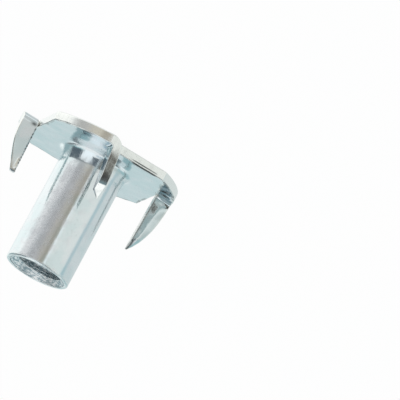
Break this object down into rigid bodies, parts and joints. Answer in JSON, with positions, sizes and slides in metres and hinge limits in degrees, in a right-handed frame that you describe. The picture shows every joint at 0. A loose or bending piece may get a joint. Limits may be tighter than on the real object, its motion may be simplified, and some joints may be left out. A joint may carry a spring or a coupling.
{
  "type": "tee nut",
  "caption": "Pronged tee nut for wood: a pinwheel flange with prongs folded up from its rim and a drawn, internally threaded barrel.",
  "frame": {"origin": "centre of the flange's outer flat face, on the barrel's axis", "axes": "+Z along the barrel from the flange to its open threaded end; +X along the fold of one prong"},
  "size_m": [0.0188, 0.0188, 0.0151],
  "materials": {
    "zinc_plate": "bright blue-white zinc plate over pressed steel, with fine draw lines and small dull patches"
  },
  "bodies": {
    "root": {"tee_nut": "zinc_plate"}
  },
  "joints": []
}
